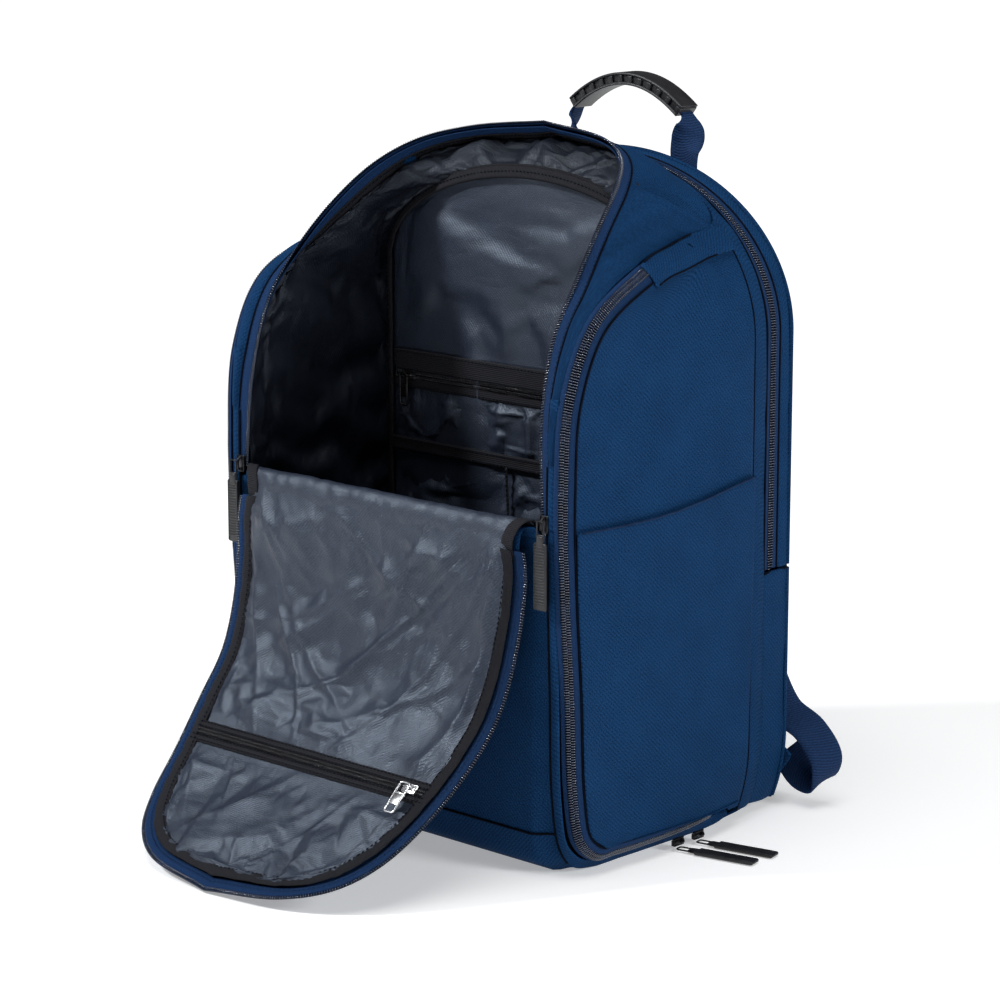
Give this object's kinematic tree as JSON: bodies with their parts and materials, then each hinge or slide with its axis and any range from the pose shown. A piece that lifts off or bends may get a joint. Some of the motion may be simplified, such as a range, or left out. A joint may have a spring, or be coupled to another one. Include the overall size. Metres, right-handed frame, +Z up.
{
  "type": "racket_backpack",
  "caption": "Upright backpack with an arched front flap that folds down, zipped pods on both sides, a clamshell back compartment, padded shoulder straps and a top grab handle.",
  "frame": {"origin": "Middle of the flat underside of the base panel.", "axes": "+Z up from the base to the handle, -Y the front with the fold-down flap, +X the side pod on the right seen from the front."},
  "size_m": [0.4724, 0.4658, 0.536],
  "materials": {
    "shell_fabric": "woven royal navy polyester with a fine two-tone fleck",
    "lining_fabric": "smooth dark nylon lining with a soft sheen",
    "base_stiffener": "matt board",
    "zip_tape": "twill tape with a nylon coil",
    "zip_metal": "black painted die cast",
    "silver_metal": "bright nickel",
    "moulded_rubber": "matt black with fine ribs",
    "buckle_plastic": "matt black acetal",
    "webbing": "ribbed polyester webbing",
    "pad_mesh": "spacer mesh over foam"
  },
  "bodies": {
    "root": {"base_panel": "shell_fabric", "front_panel": "shell_fabric", "gusset_top": "shell_fabric", "pod_gusset_right": "shell_fabric", "pod_gusset_left": "shell_fabric", "rear_gusset": "shell_fabric", "rear_gusset_lower_right": "shell_fabric", "rear_gusset_lower_left": "shell_fabric", "back_panel_lower": "shell_fabric", "side_wall_right": "lining_fabric", "side_wall_left": "lining_fabric", "divider": "lining_fabric", "divider_zip_pocket": "lining_fabric", "divider_slip_pocket": "lining_fabric", "base_board": "base_stiffener", "main_zip_rim": "zip_tape", "divider_pocket_zip": "zip_tape", "lower_webbing_right": "webbing", "lower_webbing_left": "webbing"},
    "flap": {"front_flap": "shell_fabric", "flap_lining": "lining_fabric", "flap_pocket": "lining_fabric", "flap_pocket_zip": "zip_tape", "flap_zip": "zip_tape", "flap_binding": "zip_tape"},
    "flap_pocket_slider": {"flap_pocket_slider": "silver_metal"},
    "flap_pocket_pull": {"flap_pocket_pull": "silver_metal"},
    "main_slider_right": {"main_slider_right": "zip_metal"},
    "main_pull_right": {"main_pull_right": "moulded_rubber"},
    "main_slider_left": {"main_slider_left": "zip_metal"},
    "main_pull_left": {"main_pull_left": "moulded_rubber"},
    "divider_slider": {"divider_slider": "zip_metal"},
    "divider_pull": {"divider_pull": "zip_metal"},
    "pod_door_right": {"pod_door_right": "shell_fabric", "pod_slip_pocket_right": "shell_fabric", "pod_zip_right": "zip_tape"},
    "pod_slider_front_right": {"pod_slider_front_right": "zip_metal"},
    "pod_pull_front_right": {"pod_pull_front_right": "moulded_rubber"},
    "pod_slider_rear_right": {"pod_slider_rear_right": "zip_metal"},
    "pod_pull_rear_right": {"pod_pull_rear_right": "moulded_rubber"},
    "pod_door_left": {"pod_door_left": "shell_fabric", "pod_slip_pocket_left": "shell_fabric", "pod_zip_left": "zip_tape"},
    "pod_slider_front_left": {"pod_slider_front_left": "zip_metal"},
    "pod_pull_front_left": {"pod_pull_front_left": "moulded_rubber"},
    "pod_slider_rear_left": {"pod_slider_rear_left": "zip_metal"},
    "pod_pull_rear_left": {"pod_pull_rear_left": "moulded_rubber"},
    "back_door": {"rear_zip_door": "zip_tape", "rear_gusset_door": "shell_fabric", "back_panel": "shell_fabric", "back_pad": "pad_mesh", "shoulder_pad_right": "pad_mesh", "shoulder_pad_left": "pad_mesh", "strap_buckle_right": "buckle_plastic", "strap_buckle_left": "buckle_plastic"},
    "handle": {"handle_grip": "moulded_rubber", "handle_webbing_right": "webbing", "handle_webbing_left": "webbing"},
    "rear_slider": {"rear_slider": "zip_metal"},
    "rear_pull": {"rear_pull": "moulded_rubber"}
  },
  "joints": [
    {"name": "flap_fold", "type": "hinge", "parent": "root", "child": "flap", "pos_m": [0, -0.1194, 0.25], "axis": [1, 0, 0], "range_deg": [-177, 0]},
    {"name": "flap_pocket_slide", "type": "slide", "parent": "flap", "child": "flap_pocket_slider", "axis": [-1, 0, 0], "range_m": [0, 0.2]},
    {"name": "flap_pocket_pull_swing", "type": "hinge", "parent": "flap_pocket_slider", "child": "flap_pocket_pull", "pos_m": [0.10238, -0.20122, 0.07908], "axis": [-1, 0, 0], "range_deg": [0, 100]},
    {"name": "main_slide_right", "type": "slide", "parent": "root", "child": "main_slider_right", "axis": [0, 0, 1], "range_m": [0, 0.08]},
    {"name": "main_pull_swing_right", "type": "hinge", "parent": "main_slider_right", "child": "main_pull_right", "pos_m": [0.155, -0.1232, 0.254], "axis": [-1, 0, 0], "range_deg": [0, 150]},
    {"name": "main_slide_left", "type": "slide", "parent": "root", "child": "main_slider_left", "axis": [0, 0, 1], "range_m": [0, 0.08]},
    {"name": "main_pull_swing_left", "type": "hinge", "parent": "main_slider_left", "child": "main_pull_left", "pos_m": [-0.155, -0.1232, 0.254], "axis": [-1, 0, 0], "range_deg": [0, 150]},
    {"name": "divider_slide", "type": "slide", "parent": "root", "child": "divider_slider", "axis": [1, 0, 0], "range_m": [0, 0.23]},
    {"name": "divider_pull_swing", "type": "hinge", "parent": "divider_slider", "child": "divider_pull", "pos_m": [-0.122, 0.0221, 0.306], "axis": [-1, 0, 0], "range_deg": [0, 100]},
    {"name": "pod_open_right", "type": "hinge", "parent": "root", "child": "pod_door_right", "pos_m": [0.171, 0.084, 0.22], "axis": [0, 0, 1], "range_deg": [0, 100]},
    {"name": "pod_slide_front_right", "type": "slide", "parent": "root", "child": "pod_slider_front_right", "axis": [0, -1, 0], "range_m": [0, 0.075]},
    {"name": "pod_pull_swing_front_right", "type": "hinge", "parent": "pod_slider_front_right", "child": "pod_pull_front_right", "pos_m": [0.178, 0.002, 0.002], "axis": [0, 0, -1], "range_deg": [0, 85]},
    {"name": "pod_slide_rear_right", "type": "slide", "parent": "root", "child": "pod_slider_rear_right", "axis": [0, 1, 0], "range_m": [0, 0.04]},
    {"name": "pod_pull_swing_rear_right", "type": "hinge", "parent": "pod_slider_rear_right", "child": "pod_pull_rear_right", "pos_m": [0.178, 0.024, 0.002], "axis": [0, 0, 1], "range_deg": [0, 60]},
    {"name": "pod_open_left", "type": "hinge", "parent": "root", "child": "pod_door_left", "pos_m": [-0.171, 0.084, 0.22], "axis": [0, 0, -1], "range_deg": [0, 100]},
    {"name": "pod_slide_front_left", "type": "slide", "parent": "root", "child": "pod_slider_front_left", "axis": [0, -1, 0], "range_m": [0, 0.075]},
    {"name": "pod_pull_swing_front_left", "type": "hinge", "parent": "pod_slider_front_left", "child": "pod_pull_front_left", "pos_m": [-0.178, 0.002, 0.002], "axis": [0, 0, 1], "range_deg": [0, 85]},
    {"name": "pod_slide_rear_left", "type": "slide", "parent": "root", "child": "pod_slider_rear_left", "axis": [0, 1, 0], "range_m": [0, 0.04]},
    {"name": "pod_pull_swing_rear_left", "type": "hinge", "parent": "pod_slider_rear_left", "child": "pod_pull_rear_left", "pos_m": [-0.178, 0.024, 0.002], "axis": [0, 0, -1], "range_deg": [0, 60]},
    {"name": "back_open", "type": "hinge", "parent": "root", "child": "back_door", "pos_m": [0, 0.136, 0.184], "axis": [-1, 0, 0], "range_deg": [0, 90]},
    {"name": "handle_swing", "type": "hinge", "parent": "back_door", "child": "handle", "pos_m": [0, 0.1344, 0.4758], "axis": [1, 0, 0], "range_deg": [-75, 45]},
    {"name": "rear_slide", "type": "slide", "parent": "root", "child": "rear_slider", "axis": [0, 0, 1], "range_m": [0, 0.12]},
    {"name": "rear_pull_swing", "type": "hinge", "parent": "rear_slider", "child": "rear_pull", "pos_m": [-0.1727, 0.112, 0.202], "axis": [0, 1, 0], "range_deg": [0, 150]}
  ]
}
